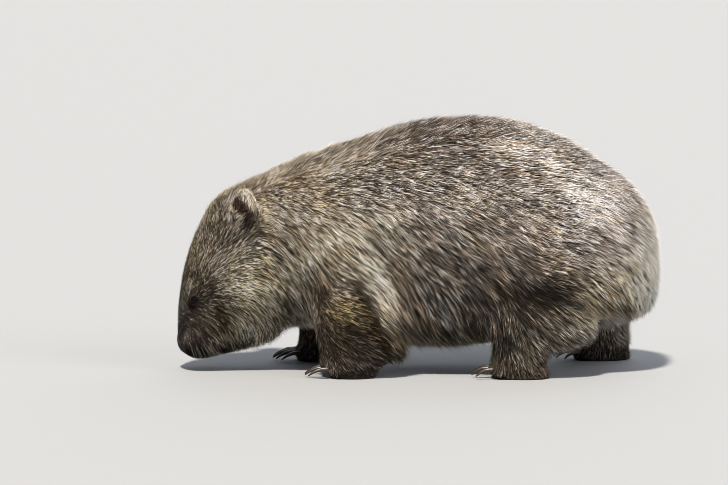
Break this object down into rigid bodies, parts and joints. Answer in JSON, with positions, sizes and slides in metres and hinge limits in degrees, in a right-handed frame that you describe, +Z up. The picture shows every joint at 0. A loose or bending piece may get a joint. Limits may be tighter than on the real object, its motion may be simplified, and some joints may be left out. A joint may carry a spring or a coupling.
{
  "type": "wombat model",
  "caption": "Life-size still model of a grazing bare-nosed wombat, standing on four feet with its head lowered to the ground.",
  "frame": {"origin": "on the floor, under the centre of the box round the whole model", "axes": "+Z up, +Y towards the animal's right side, -X the way the animal faces"},
  "size_m": [0.6824, 0.3134, 0.3602],
  "materials": {
    "coat": "coarse banded grey-brown fur, dark at the roots, cream to tan along the shafts",
    "dark_coat": "short dark brown fur on the feet",
    "nose_skin": "bare granular dark skin of the nose pad, slightly moist",
    "claw_horn": "dark brown horn, worn smooth",
    "eye": "very dark brown eye, wet gloss"
  },
  "bodies": {
    "root": {"head": "coat", "nose": "nose_skin", "ear_left": "coat", "ear_right": "coat", "eye_left": "eye", "eye_right": "eye", "neck": "coat", "trunk": "coat", "tail": "coat", "foreleg_left": "coat", "foreleg_right": "coat", "hindleg_left": "coat", "hindleg_right": "coat", "forepaw_left": "dark_coat", "forepaw_right": "dark_coat", "hindfoot_left": "dark_coat", "hindfoot_right": "dark_coat", "claw_fore_left_1": "claw_horn", "claw_fore_left_2": "claw_horn", "claw_fore_left_3": "claw_horn", "claw_fore_left_4": "claw_horn", "claw_fore_left_5": "claw_horn", "claw_fore_right_1": "claw_horn", "claw_fore_right_2": "claw_horn", "claw_fore_right_3": "claw_horn", "claw_fore_right_4": "claw_horn", "claw_fore_right_5": "claw_horn", "claw_hind_left_1": "claw_horn", "claw_hind_left_2": "claw_horn", "claw_hind_left_3": "claw_horn", "claw_hind_left_4": "claw_horn", "claw_hind_right_1": "claw_horn", "claw_hind_right_2": "claw_horn", "claw_hind_right_3": "claw_horn", "claw_hind_right_4": "claw_horn"}
  },
  "joints": []
}
